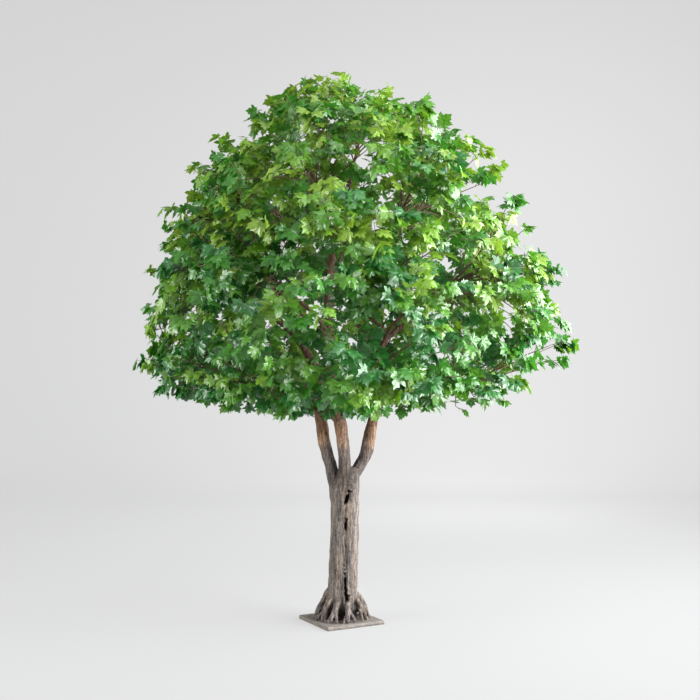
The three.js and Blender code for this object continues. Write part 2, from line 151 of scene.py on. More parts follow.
# Shoots: where on a twig, their size, their turn round it and its chance, how far they lean along the
# twig, outwards and up, how they arch, and how they are cut back to stay inside the crown.
SHOOT = dict(
    places=(0.3, 0.48, 0.64, 0.79, 0.93), length=(120, 215), radius=(2.0, 1.1),
    spin=(2.4, 6.28), lean=(0.5, 0.3, 0.25), arch=(0.6, 0.12), end=0.93, tries=5, shrink=0.8,
)
NEAR_SHARE = 0.05  # of a twig, over which its direction is taken
LEAF_PLACES = (0.34, 0.62, 0.86)  # of the pairs along a shoot, before the leaf at its end
LEAF = dict(length=(46, 74), stalk=(22, 52), stalk_radius=1.1, tries=4)
# How a leaf points: on along the shoot, down, outwards, and aside in a pair or at a shoot's end.
LEAF_AIM = dict(along=(0.3, 0.8), droop=(0.35, 1.1), outward=0.2, swing=(0.4, 1.3), end_swing=0.4)
STALK_AIM = dict(outward=0.5, up=0.55)
LEAF_FACING = dict(outward=(0.8, 0.8, 0.5), up=0.45, scatter=1.5)

# The unevenness of the crown's outline.
BAYS = dict(size=230, depth=0.16, most=1.055, at=(27.5, 5.3, 8.7))
# Where the crown is airy: the axis, where shoots start to be missing, the end of that, and the share.
OPENINGS = [(0, 250, 1000, 0.55), (2, 2150, 2750, 0.36), (2, 1500, 1200, 0.3)]

# ---------- colours ----------


def srgb(red, green, blue):
    """A colour given as it looks, 0 to 255, as the linear colour that a shader takes."""
    def linear(value):
        value /= 255
        return value / 12.92 if value <= 0.04045 else ((value + 0.055) / 1.055) ** 2.4
    return (linear(red), linear(green), linear(blue), 1)


# The bark's colours by how far its grain stands out, and its tints by height in metres: grey at
# the trunk, darker round the fork, tan above it, and brown inside the crown.
BARK_GRAIN = [(0.36, srgb(76, 70, 66)), (0.47, srgb(136, 127, 122)), (0.60, srgb(196, 183, 170))]
BARK_TINTS = [
    (0.73, (0.385, 0.380, 0.380)),
    (0.80, (0.255, 0.245, 0.245)),
    (0.90, (0.310, 0.295, 0.295)),
    (0.965, (0.430, 0.380, 0.360)),
    (0.995, (0.720, 0.560, 0.440)),
    (1.06, (0.600, 0.405, 0.288)),
    (1.12, (0.410, 0.272, 0.196)),
    (1.25, (0.300, 0.205, 0.150)),
]
BARK_STREAKS = [
    (0.38, (0.84, 0.87, 0.92, 1)),
    (0.5, (0.96, 0.94, 0.92, 1)),
    (0.62, (0.98, 0.92, 0.83, 1)),
]
TINT_SPAN = (0.6, 1.4)  # heights that the ramp of tints spans
TINT_WANDER = 0.12  # height by which blotches move the tints
# The dark of the painted shade in the bark's furrows, in its hollows and in the gaps between its roots.
BARK_PAINTED_SHADE = srgb(30, 26, 24)
TWIG_BROWN = srgb(96, 74, 52)
PETIOLE_GREEN = srgb(122, 142, 70)
PLATE_TOP = srgb(112, 105, 99)
PLATE_DARK = srgb(80, 73, 68)
STUDIO_GREY = srgb(92, 92, 92)
STUDIO_GLOW = 0.54  # the studio's own light, which keeps floor and wall even
# The greens of the leaves, from blue-green to yellow-green, each with its share of the sprays.
LEAF_TONES = [
    ("deep", srgb(40, 103, 38), 0.18),
    ("forest", srgb(56, 117, 30), 0.27),
    ("mid", srgb(75, 128, 30), 0.22),
    ("grass", srgb(94, 139, 30), 0.16),
    ("light", srgb(106, 144, 34), 0.11),
    ("pale", srgb(118, 151, 44), 0.06),
]
TONE_RISE = dict(level=1830, height=3200)  # higher sprays are yellower: no shift at this level
LEAF_THROUGH = 0.36  # the share of a leaf's light that comes through it
LEAF_MOTTLE = (0.84, 1.14)  # a leaf's darkest and lightest spots, against its tone
LEAF_ROUGHNESS, LEAF_GLOSS = 0.34, 1.0

# ---------- small tools ----------

LINE_SAMPLES, CURVE_SAMPLES = 24, 40  # of a stretch of a smooth line, and of a Bezier curve
UP = np.array([0.0, 0.0, 1.0])
WORD = 0xFFFFFFFF


def seeded(seed):
    """Seeded random numbers from 0 to 1, the same as in the part's source."""
    state = seed & WORD

    def draw():
        nonlocal state
        state = (state + 0x6D2B79F5) & WORD
        t = state
        t = ((t ^ (t >> 15)) * (t | 1)) & WORD
        t ^= (t + (((t ^ (t >> 7)) * (t | 61)) & WORD)) & WORD
        return (t ^ (t >> 14)) / 4294967296

    return draw


def mix(a, b, share):
    return a + (b - a) * share


def unit(v):
    return v / np.linalg.norm(v)


def spaced(points, steps):
    """Points at equal steps along a fine line of points."""
    lengths = np.concatenate([[0], np.cumsum(np.linalg.norm(np.diff(points, axis=0), axis=1))])
    at = np.linspace(0, lengths[-1], steps + 1)
    return np.stack([np.interp(at, lengths, points[:, k]) for k in range(3)], axis=1)


def smooth_line(points, steps):
    """A centripetal Catmull-Rom line through points, as points at equal steps along it."""
    p = np.array(points, float)
    p = np.vstack([2 * p[0] - p[1], p, 2 * p[-1] - p[-2]])
    fine = []
    for a, b, c, d in zip(p, p[1:], p[2:], p[3:]):
        ab, bc, cd = (math.sqrt(np.linalg.norm(v)) for v in (b - a, c - b, d - c))
        start = bc * ((b - a) / ab - (c - a) / (ab + bc) + (c - b) / bc)
        end = bc * ((c - b) / bc - (d - b) / (bc + cd) + (d - c) / cd)
        t = np.linspace(0, 1, LINE_SAMPLES)[:, None]
        fine.append(
            b + start * t + (3 * (c - b) - 2 * start - end) * t**2 + (2 * (b - c) + start + end) * t**3
        )
    return spaced(np.vstack(fine), steps)


def bezier(controls, steps):
    """A Bezier curve of any degree, as points at equal steps along it."""
    t = np.linspace(0, 1, CURVE_SAMPLES)[:, None]
    rows = [np.array(c, float)[None] for c in controls]
    while len(rows) > 1:
        rows = [a * (1 - t) + b * t for a, b in zip(rows, rows[1:])]
    return spaced(rows[0], steps)


def point_along(path, share):
    """The point at a share of the way along a path of equal steps."""
    place = share * (len(path) - 1)
    first = min(int(place), len(path) - 2)
    return mix(path[first], path[first + 1], place - first)


def limb_rings(path, radius_at, sides):
    """The corners of a limb round a path, in rings. radius_at takes shares along and turns round."""
    last = len(path) - 1
    steps = np.arange(last + 1)
    along = path[np.minimum(steps + 1, last)] - path[np.maximum(steps - 1, 0)]
    along /= np.linalg.norm(along, axis=1)[:, None]
    across = np.empty_like(along)
    side = np.array([1.0, 0.0, 0.0])
    for i in steps:
        side = unit(side - along[i] * (side @ along[i]))
        across[i] = side
    third = np.cross(along, across)
    turns = 2 * math.pi * np.arange(sides) / sides
    radius = radius_at(steps[:, None] / last, turns[None, :]) * np.ones((last + 1, sides))
    cosines, sines = (f(turns)[None, :, None] for f in (np.cos, np.sin))
    spokes = cosines * across[:, None] + sines * third[:, None]
    return path[:, None] + radius[..., None] * spokes


def limb(path, radius_at, sides):
    """A closed limb: its corners, with one more at the middle of each end, and its triangles."""
    rings = limb_rings(path, radius_at, sides)
    last = len(path) - 1
    points = np.vstack([rings.reshape(-1, 3), path[:1], path[-1:]])
    i, k = np.meshgrid(np.arange(last), np.arange(sides), indexing="ij")
    a = (i * sides + k).ravel()
    b = (i * sides + (k + 1) % sides).ravel()
    k = np.arange(sides)
    after = (k + 1) % sides
    foot, tip = len(points) - 2, len(points) - 1
    faces = np.vstack([
        np.stack([a, b, b + sides], axis=1),
        np.stack([a, b + sides, a + sides], axis=1),
        np.stack([np.full(sides, foot), after, k], axis=1),
        np.stack([np.full(sides, tip), last * sides + k, last * sides + after], axis=1),
    ])
    return points, faces


def stepped(values, share):
    """A value given at a few equal steps, at a share of the way along them."""
    return np.interp(share * (len(values) - 1), range(len(values)), values)


def taper(*radii):
    """The radius of a round limb whose radii are given at equal steps."""
    return lambda share, turn: stepped(radii, share)


class Heap:
    """Meshes gathered, in millimetres in the tree's frame, to be joined into one."""

    def __init__(self):
        self.points, self.faces, self.count = [], [], 0

    def add(self, points, faces):
        self.points.append(points)
        self.faces.append(faces + self.count)
        self.count += len(points)

    def mesh(self, name):
        return mesh_of(name, place(np.vstack(self.points)), np.vstack(self.faces))


TO_ROW = np.array(Matrix.Rotation(TREE_TURN, 3, "Z")) * MM


def place(points):
    """Points of the tree's frame, in millimetres, as metres in the row's frame."""
    return points @ TO_ROW.T


def mesh_of(name, points, faces):
    """A mesh of triangles."""
    mesh = bpy.data.meshes.new(name)
    mesh.vertices.add(len(points))
    mesh.vertices.foreach_set("co", points.astype(np.float32).ravel())
    mesh.loops.add(3 * len(faces))
    mesh.loops.foreach_set("vertex_index", faces.astype(np.int32).ravel())
    mesh.polygons.add(len(faces))
    mesh.polygons.foreach_set("loop_start", np.arange(0, 3 * len(faces), 3, dtype=np.int32))
    mesh.update(calc_edges=True)
    mesh.validate()
    return mesh


def show(name, mesh, material, nodes=(), smooth=True):
    """A piece of the object: it rides on the one body and stands for these CAD nodes."""
    piece = bpy.data.objects.new(name, mesh)
    bpy.context.scene.collection.objects.link(piece)
    mesh.materials.clear()
    mesh.materials.append(material)
    mesh.polygons.foreach_set("use_smooth", [smooth] * len(mesh.polygons))
    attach(piece, "root")
    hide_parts(*nodes)


# ---------- materials ----------


def new_material(name):
    """An empty Principled material, with its nodes and links."""
    material = bpy.data.materials.new(name)
    material.use_nodes = True
    nodes, links = material.node_tree.nodes, material.node_tree.links
    return material, nodes, links, nodes["Principled BSDF"]


def noise_node(nodes, links, scale, stretch=(1, 1, 1), detail=4, roughness=0.6):
    """A noise over the object's own coordinates, in features per metre."""
    place_node = nodes.new("ShaderNodeTexCoord")
    mapping = nodes.new("ShaderNodeMapping")
    mapping.inputs["Scale"].default_value = [scale * s for s in stretch]
    texture = nodes.new("ShaderNodeTexNoise")
    texture.inputs["Scale"].default_value = 1
    texture.inputs["Detail"].default_value = detail
    texture.inputs["Roughness"].default_value = roughness
    links.new(place_node.outputs["Object"], mapping.inputs["Vector"])
    links.new(mapping.outputs["Vector"], texture.inputs["Vector"])
    return texture.outputs["Fac"]


def ramp_node(nodes, links, factor, stops):
    """Colours at places from 0 to 1 of a factor."""
    ramp = nodes.new("ShaderNodeValToRGB")
    elements = ramp.color_ramp.elements
    while len(elements) < len(stops):
        elements.new(0.5)
    for element, (at, colour) in zip(elements, stops):
        element.position = at
        element.color = colour
    links.new(factor, ramp.inputs["Fac"])
    return ramp.outputs["Color"]


def mix_node(nodes, links, factor, first, second):
    """Two colours, sockets or plain, mixed by a factor."""
    node = nodes.new("ShaderNodeMix")
    node.data_type = "RGBA"
    links.new(factor, node.inputs["Factor"])
    for name, colour in (("A", first), ("B", second)):
        socket = [s for s in node.inputs if s.name == name and s.type == "RGBA"][0]
        if isinstance(colour, tuple):
            socket.default_value = colour
        else:
            links.new(colour, socket)
    return [s for s in node.outputs if s.type == "RGBA"][0]


def tinted_node(nodes, links, colour, tint):
    """A colour multiplied by a tint."""
    node = nodes.new("ShaderNodeMix")
    node.data_type = "RGBA"
    node.blend_type = "MULTIPLY"
    node.inputs["Factor"].default_value = 1
    sockets = [s for s in node.inputs if s.type == "RGBA"]
    links.new(colour, sockets[0])
    links.new(tint, sockets[1])
    return [s for s in node.outputs if s.type == "RGBA"][0]


def bump_node(nodes, links, height, shader, strength, distance):
    """Fine relief on a shader, its depth in metres."""
    bump = nodes.new("ShaderNodeBump")
    bump.inputs["Strength"].default_value = strength
    bump.inputs["Distance"].default_value = distance
    links.new(height, bump.inputs["Height"])
    links.new(bump.outputs["Normal"], shader.inputs["Normal"])


def bark_material(name):
    """Rough bark, with painted shade in its furrows, its hollows and between its roots, pale on its
    fibres, and tinted by height.
    """
    material, nodes, links, shader = new_material(name)
    fibres = noise_node(nodes, links, 80, (1, 1, 0.09), 6, 0.62)
    crumbs = noise_node(nodes, links, 170, (1, 1, 0.45), 5, 0.6)
    blotches = noise_node(nodes, links, 13, (1, 1, 0.5), 4, 0.55)
    grain = nodes.new("ShaderNodeMix")
    grain.inputs["Factor"].default_value = 0.4
    links.new(fibres, grain.inputs["A"])
    links.new(crumbs, grain.inputs["B"])
    grain = grain.outputs["Result"]
    place_node = nodes.new("ShaderNodeTexCoord")
    split = nodes.new("ShaderNodeSeparateXYZ")
    links.new(place_node.outputs["Object"], split.inputs["Vector"])
    wander = nodes.new("ShaderNodeMath")
    wander.operation = "MULTIPLY_ADD"
    wander.inputs[1].default_value = TINT_WANDER
    links.new(blotches, wander.inputs[0])
    links.new(split.outputs["Z"], wander.inputs[2])
    height = nodes.new("ShaderNodeMapRange")
    height.inputs["From Min"].default_value = TINT_SPAN[0] + TINT_WANDER / 2
    height.inputs["From Max"].default_value = TINT_SPAN[1] + TINT_WANDER / 2
    links.new(wander.outputs["Value"], height.inputs["Value"])
    tints = [((z - TINT_SPAN[0]) / (TINT_SPAN[1] - TINT_SPAN[0]), (*tint, 1)) for z, tint in BARK_TINTS]
    tint = ramp_node(nodes, links, height.outputs["Result"], tints)
    colour = tinted_node(nodes, links, ramp_node(nodes, links, grain, BARK_GRAIN), tint)
    streaks = noise_node(nodes, links, 22, (1, 1, 0.12), 3, 0.5)
    colour = tinted_node(nodes, links, colour, ramp_node(nodes, links, streaks, BARK_STREAKS))
    # Painted shade, kept on the mesh, darkens the furrows, the hollows and the gaps between the roots.
    painted_shade = nodes.new("ShaderNodeAttribute")
    painted_shade.attribute_name = "painted_shade"
    colour = mix_node(nodes, links, painted_shade.outputs["Fac"], colour, BARK_PAINTED_SHADE)
    links.new(colour, shader.inputs["Base Color"])
    shader.inputs["Roughness"].default_value = 0.85
    shader.inputs["Specular IOR Level"].default_value = 0.2
    bump_node(nodes, links, grain, shader, 1.0, 0.006)
    return material


def twig_material():
    """Speckled brown twigs."""
    material, nodes, links, shader = new_material("twig_bark")
    speckle = noise_node(nodes, links, 160, (1, 1, 0.4))
    dark = tuple(0.55 * c for c in TWIG_BROWN[:3]) + (1,)
    brown = ramp_node(nodes, links, speckle, [(0.35, dark), (0.6, TWIG_BROWN)])
    links.new(brown, shader.inputs["Base Color"])
    shader.inputs["Roughness"].default_value = 0.75
    bump_node(nodes, links, speckle, shader, 0.4, 0.001)
    return material


def petiole_material():
    """The pale green of the leaves' stalks."""
    material, nodes, links, shader = new_material("petiole_green")
    speckle = noise_node(nodes, links, 60)
    dark = tuple(0.7 * c for c in PETIOLE_GREEN[:3]) + (1,)
    green = ramp_node(nodes, links, speckle, [(0.3, dark), (0.65, PETIOLE_GREEN)])
    links.new(green, shader.inputs["Base Color"])
    shader.inputs["Roughness"].default_value = 0.5
    return material


def leaf_material(name, colour):
    """Coated cloth: a plain green, faintly mottled, with some gloss, that lets some light through."""
    material, nodes, links, shader = new_material(name)
    mottle = noise_node(nodes, links, 55, (1, 1, 1), 3, 0.5)
    dark, light = (tuple(min(m * c, 1) for c in colour[:3]) + (1,) for m in LEAF_MOTTLE)
    green = ramp_node(nodes, links, mottle, [(0.35, dark), (0.65, light)])
    links.new(green, shader.inputs["Base Color"])
    shader.inputs["Roughness"].default_value = LEAF_ROUGHNESS
    shader.inputs["Specular IOR Level"].default_value = LEAF_GLOSS
    fibre = noise_node(nodes, links, 260, (1, 1, 1), 2, 0.5)
    bump_node(nodes, links, fibre, shader, 0.25, 0.0008)
    through = nodes.new("ShaderNodeBsdfTranslucent")
    links.new(green, through.inputs["Color"])
    both = nodes.new("ShaderNodeMixShader")
    both.inputs["Fac"].default_value = LEAF_THROUGH
    links.new(shader.outputs["BSDF"], both.inputs[1])
    links.new(through.outputs["BSDF"], both.inputs[2])
    links.new(both.outputs["Shader"], nodes["Material Output"].inputs["Surface"])
    return material


def plate_material():
    """The plate's rough coat, like ground bark."""
    material, nodes, links, shader = new_material("plate_coat")
    crumbs = noise_node(nodes, links, 55, (1, 1, 1), 8, 0.72)
    coat = ramp_node(nodes, links, crumbs, [(0.36, PLATE_DARK), (0.54, PLATE_TOP)])
    links.new(coat, shader.inputs["Base Color"])
    shader.inputs["Roughness"].default_value = 0.85
    bump_node(nodes, links, crumbs, shader, 0.8, 0.003)
    return material


# ---------- base plate ----------


def plate_mesh(cells=84):
    """The plate with a crumbly coat: a top grid with relief, rounded over into the sides."""
    low, high = (np.array(v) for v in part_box("base_plate"))
    side = np.linspace(0, 1, cells + 1)
    u, v = np.meshgrid(side, side, indexing="ij")
    x = mix(low[0], high[0], u)
    y = mix(low[1], high[1], v)
    bevel = PLATE_BEVEL * MM
    edge = np.minimum.reduce([x - low[0], high[0] - x, y - low[1], high[1] - y])
    rounding = bevel * (1 - np.minimum(edge / (2 * bevel), 1)) ** 2
    relief = np.array([
        noise.fractal(Vector((a * CRUMBS["scale"], b * CRUMBS["scale"], 0)), 1.0, 2.0, 4)
        for a, b in zip(x.ravel(), y.ravel())
    ]).reshape(x.shape)
    z = high[2] - rounding + CRUMBS["depth"] * np.minimum(edge / (3 * bevel), 1) * relief
    top = np.stack([x, y, z], axis=-1).reshape(-1, 3)
    index = np.arange((cells + 1) ** 2).reshape(cells + 1, cells + 1)
    a, b, c, d = (q.ravel() for q in (index[:-1, :-1], index[1:, :-1], index[1:, 1:], index[:-1, 1:]))
    faces = [np.stack([a, b, c], axis=1), np.stack([a, c, d], axis=1)]
    rim = np.concatenate([index[:-1, 0], index[-1, :-1], index[:0:-1, -1], index[0, :0:-1]])
    foot = top[rim].copy()
    foot[:, 2] = low[2]
    first = len(top)
    around = np.arange(len(rim))
    after = (around + 1) % len(rim)
    faces.append(np.stack([rim, first + around, first + after], axis=1))
    faces.append(np.stack([rim, first + after, rim[after]], axis=1))
    middle = np.array([[*(low[:2] + high[:2]) / 2, low[2]]])
    centre = first + len(rim)
    faces.append(np.stack([np.full(len(rim), centre), first + after, first + around], axis=1))
    return mesh_of("plate", np.vstack([top, foot, middle]), np.vstack(faces))


# ---------- trunk and boughs ----------


def trunk_radius(share, turn):
    """The trunk's strands, as in the part's source."""
    furrow = np.cos(3 * turn + 1.2 + share) * 0.6 + np.cos(5 * turn - 2 * share) * 0.4
    return stepped(TRUNK_RADIUS, share) * (1 + TRUNK_GROOVES * furrow)


def root(index, random, chance):
    """One root, as in the part's source, and the two thinner strands that part from it, as limbs."""
    heading = 2 * math.pi * (index + ROOTS["wander"] * random()) / ROOTS["count"]
    out = np.array([math.cos(heading), math.sin(heading), 0])
    across = np.array([-out[1], out[0], 0])
    spread = ROOTS["spread"] * mix(*ROOTS["spread_share"], random())
    rise = ROOTS["rise"] * mix(*ROOTS["rise_share"], random())
    stray = mix(-ROOTS["stray"], ROOTS["stray"], random())

    def strand(aside, fall, radii):
        def at(reach, height):
            return out * reach + UP * (GROUND + height)
        points = [
            at(ROOTS["start"], rise * fall),
            at(ROOTS["knee"][0], rise * ROOTS["knee"][1] * fall),
            at(spread * ROOTS["shin"][0], rise * ROOTS["shin"][1] * fall) + across * aside,
            at(spread, -ROOTS["sink"]) + across * aside * ROOTS["toe_stray"],
        ]
        steps, sides = FINE["root"]
        return limb(smooth_line(points, steps), taper(*radii), sides)

    turn = math.copysign(mix(*ROOT_TURN, chance()), -stray)
    limbs = [strand(stray, 1, ROOTS["radius"])]
    for thin in ROOT_STRANDS:
        limbs.append(strand(stray + thin["turn"] * turn, mix(*thin["fall"], chance()), thin["radius"]))
    return limbs


def crown_share(point):
    """How far out a point lies in the crown: 0 at its heart and 1 on its surface."""
    x, y, z = point
    above = z > CROWN["widest"]
    power = DOME_POWER if above else UNDER_POWER
    height = CROWN["top"] - CROWN["widest"] if above else CROWN["widest"] - CROWN["bottom"]
    level = abs(z - CROWN["widest"]) / height
    heading = math.atan2(y - CROWN["y"], x - CROWN["x"])
    lumps = math.sin(3 * heading + z / 210) + math.sin(5 * heading - z / 130 + 1)
    radius = CROWN["radius"] * (1 - CROWN["lump"] * (1 - lumps / 2))
    out = math.hypot(x - CROWN["x"], y - CROWN["y"]) / radius
    return (level**power + out**power) ** (1 / power)


def crown_limit(point):
    """The share of the crown that foliage fills at a point, which leaves bays in its outline."""
    wave = noise.noise(Vector(point) / BAYS["size"] + Vector(BAYS["at"]))
    return BAYS["most"] - BAYS["depth"] * min(max(0.5 + wave, 0), 1)


def openness(point):
    """The share of shoots missing at a point: the crown is airy at its right, top and underside."""
    return sum(
        most * min(max((point[axis] - start) / (end - start), 0), 1)
        for axis, start, end, most in OPENINGS
    )


def crown_point(heading, out, z):
    """A point at a heading and distance from the crown's axis."""
    return np.array([CROWN["x"] + out * math.cos(heading), CROWN["y"] + out * math.sin(heading), z])


def make_masses():
    """The masses of foliage, each with its space's centre and its stem's start and direction."""
    masses = []
    for tier in TIERS:
        for i in range(tier["count"]):
            heading = math.radians(tier["phase"]) + 2 * math.pi * i / tier["count"]
            lift = STAGGER * (i % 2 - 0.5) if tier["count"] > 1 else 0
            lean = np.array([math.cos(heading), math.sin(heading), tier["rise"]])
            masses.append(dict(
                name=f"{tier['name']}_{i + 1}",
                tier=tier,
                centre=crown_point(heading, tier["out"], tier["z"] + lift),
                foot=crown_point(heading, tier["stem_out"], tier["stem_z"] + lift / 2),
                lean=unit(lean) if tier["out"] else UP,
            ))
    return masses


def in_space(point, mass, masses):
    """True where a point lies in the crown and nearest to this mass's centre."""
    if crown_share(point) > 1:
        return False
    own = np.sum((point - mass["centre"]) ** 2)
    return all(
        other is mass or np.sum((point - other["centre"]) ** 2) > own for other in masses
    )


def end_direction(path):
    return unit(path[-1] - path[-2])


def make_main_boughs(masses):
    """The main boughs, each run on to the foot of the mass that it carries at its tip."""
    boughs = []
    for name, bough in MAIN_BOUGHS.items():
        mass = next(m for m in masses if m["name"] == CARRIED[name])
        path = smooth_line([*bough["line"][:-1], mass["foot"]], MAIN_STEPS)
        mass["lean"] = end_direction(path)
        boughs.append(dict(name=f"main_bough_{name}", path=path, radius=bough["radius"]))
    return boughs


def carrier_of(mass, boughs):
    """The bough and fork from which a side bough to a mass is shortest and climbs as it should."""
    best = None
    for bough in boughs:
        for i in range(FIRST_FORK, LAST_FORK + 1):
            start = bough["path"][i]
            run = math.hypot(*(mass["foot"] - start)[:2])
            miss = abs(mass["foot"][2] - mass["tier"]["fork"] * run - start[2])
            cost = np.linalg.norm(mass["foot"] - start) + FORK_MISS * miss
            if best is None or cost < best[0]:
                best = (cost, bough, i)
    return best[1:]


def side_bough(mass, boughs):
    """A side bough: it leaves its main bough along it, and turns out and up to its mass's foot."""
    bough, i = carrier_of(mass, boughs)
    start = bough["path"][i]
    along = unit(bough["path"][i + 1] - bough["path"][i - 1])
    length = np.linalg.norm(mass["foot"] - start)
    leave = start + along * SIDE_LEAVE * length
    arrive = mass["foot"] - mass["lean"] * SIDE_ARRIVE * length
    path = bezier([start, leave, arrive, mass["foot"]], FINE["side"][0])
    mass["lean"] = end_direction(path)
    thick = SIDE_SHARE * stepped(bough["radius"], i / MAIN_STEPS)
    return dict(name=f"bough_{mass['name']}", path=path, radius=(min(thick, SIDE_MOST), SIDE_TIP))


def knobbly(radii, seed):
    """The radius of a bough with swellings along it."""
    def radius_at(share, turn):
        first, second = (np.sin(w * share + k * seed) for k, w in enumerate(KNOBS["waves"], 1))
        swell = first * np.cos(turn + KNOBS["twist"] * share) + second
        return stepped(radii, share) * (1 + KNOBS["share"] * swell)
    return radius_at


def wood_mesh(main_boughs):
    """Trunk, roots and main boughs as one skin, with relief."""
    heap = Heap()
    steps, sides = FINE["trunk"]
    heap.add(*limb(smooth_line(TRUNK_AXIS, steps), trunk_radius, sides))
    random, chance = seeded(SEED), seeded(SEED + 1)
    for i in range(ROOTS["count"]):
        for strand in root(i, random, chance):
            heap.add(*strand)
    steps, sides = FINE["main"]
    for i, bough in enumerate(main_boughs):
        heap.add(*limb(smooth_line(bough["path"], steps), knobbly(bough["radius"], i), sides))
    lump = bpy.data.objects.new("lump", heap.mesh("lump"))
    bpy.context.scene.collection.objects.link(lump)
    remesh = lump.modifiers.new("skin", "REMESH")
    remesh.mode = "VOXEL"
    remesh.voxel_size = BARK_VOXEL * MM
    soften = lump.modifiers.new("soften", "SMOOTH")
    soften.factor = BARK_SOFTENING["factor"]
    soften.iterations = BARK_SOFTENING["iterations"]
    shaped = lump.evaluated_get(bpy.context.evaluated_depsgraph_get())
    skin = bpy.data.meshes.new_from_object(shaped)
    bpy.data.objects.remove(lump)
    carve(skin)
    return skin


def carve(skin):
    """Bark relief on a skin: furrows and fibres along the limbs, and the trunk's hollows, with painted
    shade where the bark lies deep and between the roots.
    """
    count = len(skin.vertices)
    points = np.empty(3 * count, np.float32)
    normals = np.empty(3 * count, np.float32)
    skin.vertices.foreach_get("co", points)
    skin.vertices.foreach_get("normal", normals)
    points = points.reshape(-1, 3).astype(float)
    normals = normals.reshape(-1, 3).astype(float)
    tree = (points / MM) @ np.array(Matrix.Rotation(TREE_TURN, 3, "Z"))
    # bark_relief gives the relief, and the painted shade deep in the furrows.
    relief, painted_shade = (np.array(v) for v in zip(*(bark_relief(*p) for p in tree)))
    flat = tree[:, 2] < GROUND + BARK_FOOT
    relief[flat] = 0
    push = np.zeros_like(tree)
    for hollow in HOLLOWS:
        push[:, 1] += hollow_push(tree, **hollow)
    # Painted shade in the hollows: the deeper the bark is pushed in, the darker.
    painted_shade += np.maximum(push[:, 1] - HOLLOW_SHADE_FROM, 0) / (HOLLOW_SHADE_TO - HOLLOW_SHADE_FROM)
    # Painted shade between the roots: bark near the trunk and inside the roots' crests is darker.
    crest = np.interp(tree[:, 2], *zip(*ROOT_CREST))
    painted_shade += np.maximum(crest - ROOT_GAP_SHADE[0] - np.hypot(tree[:, 0], tree[:, 1]), 0) / ROOT_GAP_SHADE[1]
    painted_shade = np.clip(painted_shade, 0, 1)
    points += normals * relief[:, None] * MM + place(push)
    points[:, 2] = np.maximum(points[:, 2], GROUND * MM)
    skin.vertices.foreach_set("co", points.astype(np.float32).ravel())
    # The painted shade is kept as an attribute that the bark material reads.
    skin.attributes.new("painted_shade", "FLOAT", "POINT").data.foreach_set("value", painted_shade.astype(np.float32))
    skin.update()


def bark_relief(x, y, z):
    """How far the bark stands out at a point, in millimetres, and how much painted shade it takes from
    lying deep in a furrow.
    """
    lump = noise.noise(Vector((x, y, z)) / LUMPS["size"])
    wide, long = FURROW_BEND["width"], FURROW_BEND["length"]
    bent = noise.noise(Vector((x / wide, y / wide, z / long))) * FURROW_BEND["by"]
    wide = FURROW["width"]
    furrow = noise.noise(Vector(((x + bent) / wide, (y - bent) / wide, z / FURROW["length"])))
    deep = max(0.0, 1 - abs(furrow) / FURROW["share"])
    wide = FIBRE["width"]
    fibre = noise.noise(Vector((x / wide, y / wide, z / FIBRE["length"])))
    sink = FURROW["depth"] * (deep - FURROW["level"])
    relief = LUMPS["depth"] * lump - sink + FIBRE["depth"] * fibre
    # The second value is painted shade: the deeper in a furrow, the darker.
    return relief, FURROW["dark"] * deep


def hollow_push(tree, at, half, slant, depth):
    """How far a hollow in the trunk's front sinks the bark, and raises it round its lip."""
    dx = tree[:, 0] - at[0]
    dz = tree[:, 2] - at[1]
    across = dx * math.cos(slant) - dz * math.sin(slant)
    down = dx * math.sin(slant) + dz * math.cos(slant)
    reach = np.hypot(across / half[0], down / half[1])
    near = reach < HOLLOW_RAG["within"]
    rag = [noise.noise(Vector(p) / HOLLOW_RAG["size"]) for p in tree[near]]
    reach[near] *= 1 + HOLLOW_RAG["share"] * np.array(rag)
    inside = np.clip(HOLLOW_EDGE["reach"] - reach, 0, 1) ** HOLLOW_EDGE["power"]
    lip = np.exp(-((reach - HOLLOW_LIP["reach"]) / HOLLOW_LIP["width"]) ** 2)
    push = depth * inside - HOLLOW_LIP["height"] * depth * lip
    return np.where(tree[:, 1] < HOLLOW_FRONT, push, 0)


# ---------- twigs and leaves ----------

# Half of a maple leaf's outline, from the stalk's end round to the tip: shares of its length.
HALF_OUTLINE = [
    (-0.08, 0.06), (-0.20, 0.22), (-0.09, 0.34), (-0.10, 0.53), (0.09, 0.43), (0.20, 0.65),
    (0.47, 0.74), (0.46, 0.52), (0.41, 0.31), (0.65, 0.37), (0.75, 0.16),
]
LEAF_RING = 0.55  # where its middle ring lies
LEAF_BOW = 0.8  # how much it curls across, against along
LEAF_VEINS = math.radians(58)  # the angle between its main veins


def leaf_template(fold, curl, ripple):
    """A leaf one long: a fan with a middle ring, folded at its midrib, curled, and rippled."""
    half = np.array(HALF_OUTLINE)
    outline = np.vstack([half, [[1, 0]], half[::-1] * (1, -1)])
    flat = np.vstack([[[0, 0]], LEAF_RING * outline, outline])
    x, y = flat[:, 0], flat[:, 1]
    heading = np.arctan2(y, x)
    veins = np.cos(heading * 2 * math.pi / LEAF_VEINS) * np.hypot(x, y)
    bow = np.maximum(x, 0) ** 2 + LEAF_BOW * y**2
    z = fold * np.abs(y) - curl * bow + ripple * veins
    n = len(outline)
    k = np.arange(n - 1)
    inner, outer = 1 + k, 1 + n + k
    faces = np.vstack([
        np.stack([np.zeros(n - 1, int), inner + 1, inner], axis=1),
        np.stack([inner, inner + 1, outer + 1], axis=1),
        np.stack([inner, outer + 1, outer], axis=1),
    ])
    return np.column_stack([x, y, z]), faces


